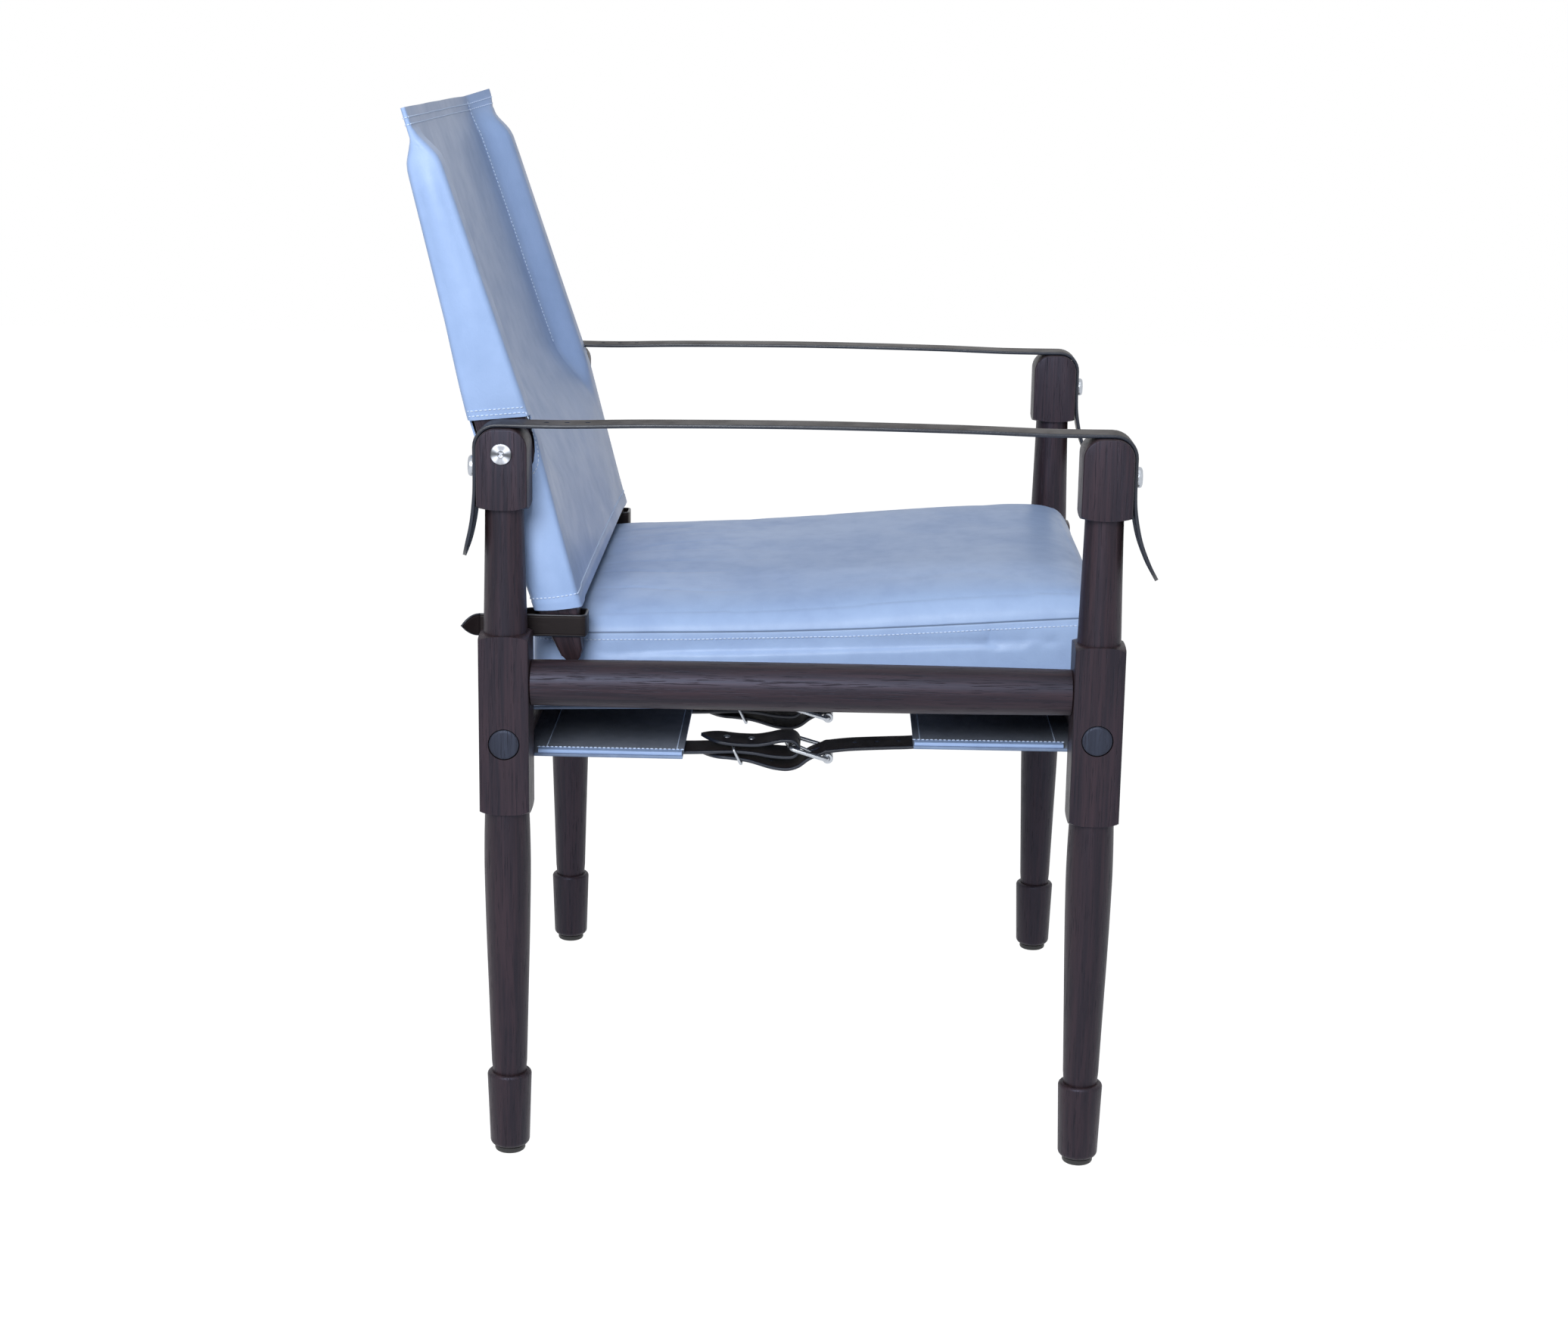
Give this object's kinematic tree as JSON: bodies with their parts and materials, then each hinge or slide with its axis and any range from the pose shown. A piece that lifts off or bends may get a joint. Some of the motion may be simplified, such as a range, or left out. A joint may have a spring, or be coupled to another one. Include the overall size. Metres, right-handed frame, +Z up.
{
  "type": "campaign chair",
  "caption": "Knock-down campaign chair with turned wooden legs, a buckled leather sling seat with a boxed cushion, leather strap arms and a tilting leather back.",
  "frame": {"origin": "on the floor under the centre of the chair's bounding box", "axes": "+Z up, -Y is the way the sitter faces, -X is the sitter's right"},
  "size_m": [0.6212, 0.6438, 0.9142],
  "materials": {
    "wood": "dark oiled satin",
    "plug_wood": "ebonised satin",
    "leather": "smooth semi-gloss",
    "strap_leather": "waxed",
    "steel": "turned and polished",
    "glide": "matt"
  },
  "bodies": {
    "frame": {"leg_front_right": "wood", "leg_front_left": "wood", "leg_rear_right": "wood", "leg_rear_left": "wood", "glide_front_right": "glide", "glide_front_left": "glide", "glide_rear_right": "glide", "glide_rear_left": "glide", "front_rail": "wood", "rear_rail": "wood", "side_rail_right": "wood", "side_rail_left": "wood", "bolt_cover_front_right": "plug_wood", "bolt_cover_front_left": "plug_wood", "bolt_cover_rear_right": "plug_wood", "bolt_cover_rear_left": "plug_wood", "rail_bolt_front_right": "steel", "rail_bolt_front_left": "steel", "rail_bolt_rear_right": "steel", "rail_bolt_rear_left": "steel", "pivot_screw_right": "steel", "pivot_screw_left": "steel", "keeper_strap_right": "strap_leather", "keeper_strap_left": "strap_leather", "keeper_stud_right": "steel", "keeper_stud_left": "steel", "arm_strap_right": "strap_leather", "arm_strap_left": "strap_leather", "arm_stud_front_right": "steel", "arm_stud_front_left": "steel", "arm_stud_rear_right": "steel", "arm_stud_rear_left": "steel", "seat_sling": "leather", "sling_rear_strap_1": "strap_leather", "sling_rear_strap_2": "strap_leather", "sling_rear_strap_3": "strap_leather", "sling_rear_strap_4": "strap_leather", "sling_front_strap_1": "strap_leather", "sling_front_strap_2": "strap_leather", "sling_front_strap_3": "strap_leather", "sling_front_strap_4": "strap_leather", "buckle_frame_1": "steel", "buckle_frame_2": "steel", "buckle_frame_3": "steel", "buckle_frame_4": "steel", "keeper_loop_1": "steel", "keeper_loop_2": "steel", "keeper_loop_3": "steel", "keeper_loop_4": "steel"},
    "back": {"back_stile_right": "wood", "back_stile_left": "wood", "pivot_bushing_right": "steel", "pivot_bushing_left": "steel", "back_sleeve": "leather"},
    "cushion": {"seat_cushion": "leather"},
    "roller_1": {"buckle_roller_1": "steel"},
    "roller_2": {"buckle_roller_2": "steel"},
    "roller_3": {"buckle_roller_3": "steel"},
    "roller_4": {"buckle_roller_4": "steel"}
  },
  "joints": [
    {"name": "back_tilt", "type": "hinge", "parent": "frame", "child": "back", "pos_m": [0, 0.23513, 0.6325], "axis": [1, 0, 0], "range_deg": [0, 3.5]},
    {"name": "cushion_slide", "type": "slide", "parent": "frame", "child": "cushion", "axis": [0, -0.9997, 0.0258], "range_m": [0, 0.56]},
    {"name": "roller_1_spin", "type": "hinge", "parent": "frame", "child": "roller_1", "pos_m": [-0.215, -0.04303, 0.35336], "axis": [1, 0, 0], "continuous": true},
    {"name": "roller_2_spin", "type": "hinge", "parent": "frame", "child": "roller_2", "pos_m": [-0.07168, -0.04303, 0.35336], "axis": [1, 0, 0], "continuous": true},
    {"name": "roller_3_spin", "type": "hinge", "parent": "frame", "child": "roller_3", "pos_m": [0.07168, -0.04303, 0.35336], "axis": [1, 0, 0], "continuous": true},
    {"name": "roller_4_spin", "type": "hinge", "parent": "frame", "child": "roller_4", "pos_m": [0.215, -0.04303, 0.35336], "axis": [1, 0, 0], "continuous": true}
  ]
}
